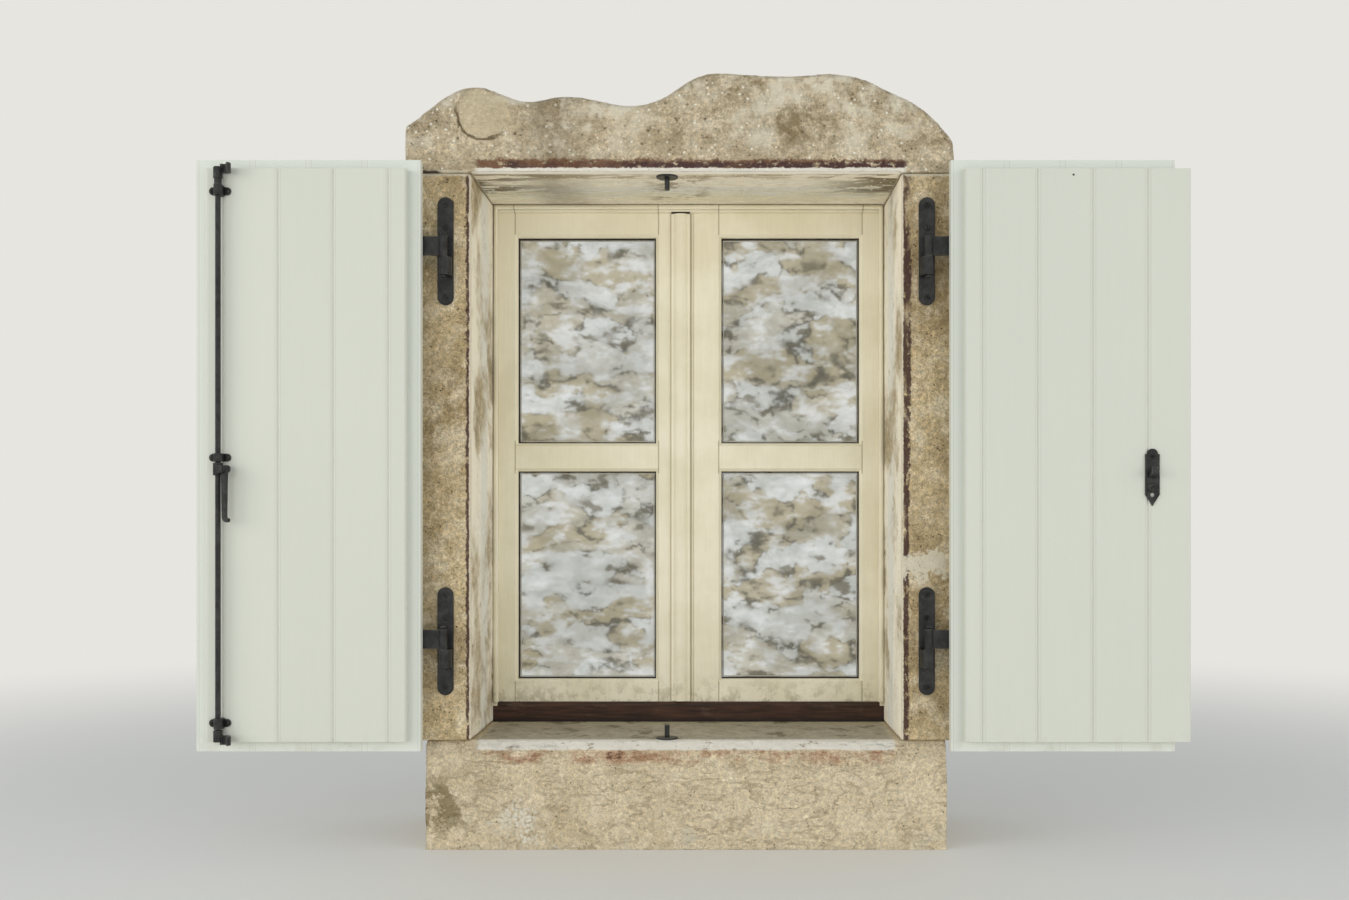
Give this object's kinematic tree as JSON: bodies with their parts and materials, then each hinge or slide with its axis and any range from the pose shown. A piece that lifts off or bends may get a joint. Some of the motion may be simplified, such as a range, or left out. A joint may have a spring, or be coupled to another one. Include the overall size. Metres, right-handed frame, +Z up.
{
  "type": "window shutters",
  "caption": "Pair of painted board shutters with an espagnolette bolt, hinged on a dressed-stone surround that holds an inward-opening casement window.",
  "frame": {"origin": "centre of the underside of the sill stone, half way through the wall", "axes": "+X to the right seen from the street, -Y towards the street, +Z up"},
  "size_m": [1.884, 0.4327, 1.51],
  "materials": {
    "stone": "rough dressed limestone",
    "shutter_paint": "pale grey-green paint, brushed",
    "window_paint": "cream paint",
    "threshold_paint": "dark red-brown paint",
    "black_iron": "matt black paint",
    "window_iron": "painted over with the window",
    "glass": "plain window glass"
  },
  "bodies": {
    "surround": {"bottom_stud": "black_iron", "hinge_pins": "black_iron", "left_jamb_stone": "stone", "left_lower_wall_plate": "black_iron", "left_upper_wall_plate": "black_iron", "lintel_stone": "stone", "right_jamb_stone": "stone", "right_lower_wall_plate": "black_iron", "right_upper_wall_plate": "black_iron", "sash_hinge_posts": "window_iron", "sill_stone": "stone", "threshold": "threshold_paint", "top_stud": "black_iron", "wall_plate_screws": "black_iron", "window_frame": "window_paint"},
    "left_leaf": {"left_inner_board_1": "shutter_paint", "left_inner_board_2": "shutter_paint", "left_inner_board_3": "shutter_paint", "left_inner_board_4": "shutter_paint", "left_inner_board_5": "shutter_paint", "left_outer_board_1": "shutter_paint", "left_outer_board_2": "shutter_paint", "left_outer_board_3": "shutter_paint", "left_outer_board_4": "shutter_paint", "left_upper_strap": "black_iron", "left_lower_strap": "black_iron", "left_strap_screws": "black_iron", "top_rod_guide": "black_iron", "middle_rod_guide": "black_iron", "bottom_rod_guide": "black_iron", "guide_screws": "black_iron"},
    "right_leaf": {"right_inner_board_1": "shutter_paint", "right_inner_board_2": "shutter_paint", "right_inner_board_3": "shutter_paint", "right_inner_board_4": "shutter_paint", "right_inner_board_5": "shutter_paint", "right_outer_board_1": "shutter_paint", "right_outer_board_2": "shutter_paint", "right_outer_board_3": "shutter_paint", "right_outer_board_4": "shutter_paint", "right_upper_strap": "black_iron", "right_lower_strap": "black_iron", "right_strap_screws": "black_iron", "keeper": "black_iron", "keeper_screws": "black_iron"},
    "bolt": {"rod": "black_iron", "top_hook": "black_iron", "bottom_hook": "black_iron", "handle_socket": "black_iron", "lever_pin": "black_iron"},
    "handle": {"lever": "black_iron"},
    "left_casement": {"left_sash": "window_paint", "left_panes": "glass", "astragal": "window_paint", "left_sash_knuckles": "window_iron"},
    "right_casement": {"right_sash": "window_paint", "right_panes": "glass", "right_sash_knuckles": "window_iron"}
  },
  "joints": [
    {"name": "left_leaf_hinge", "type": "hinge", "parent": "surround", "child": "left_leaf", "pos_m": [-0.466, -0.191, 0.74], "axis": [0, 0, 1], "range_deg": [0, 180]},
    {"name": "right_leaf_hinge", "type": "hinge", "parent": "surround", "child": "right_leaf", "pos_m": [0.466, -0.191, 0.74], "axis": [0, 0, -1], "range_deg": [0, 180]},
    {"name": "bolt_turn", "type": "hinge", "parent": "left_leaf", "child": "bolt", "pos_m": [-0.877, -0.248, 0.74], "axis": [0, 0, -1], "range_deg": [0, 150]},
    {"name": "lever_lift", "type": "hinge", "parent": "bolt", "child": "handle", "pos_m": [-0.86141, -0.257, 0.734], "axis": [-0.5, -0.866, 0], "range_deg": [0, 100]},
    {"name": "left_casement_hinge", "type": "hinge", "parent": "surround", "child": "left_casement", "pos_m": [-0.42, 0.1585, 0.74], "axis": [0, 0, 1], "range_deg": [0, 95]},
    {"name": "right_casement_hinge", "type": "hinge", "parent": "surround", "child": "right_casement", "pos_m": [0.42, 0.1585, 0.74], "axis": [0, 0, -1], "range_deg": [0, 95]}
  ]
}
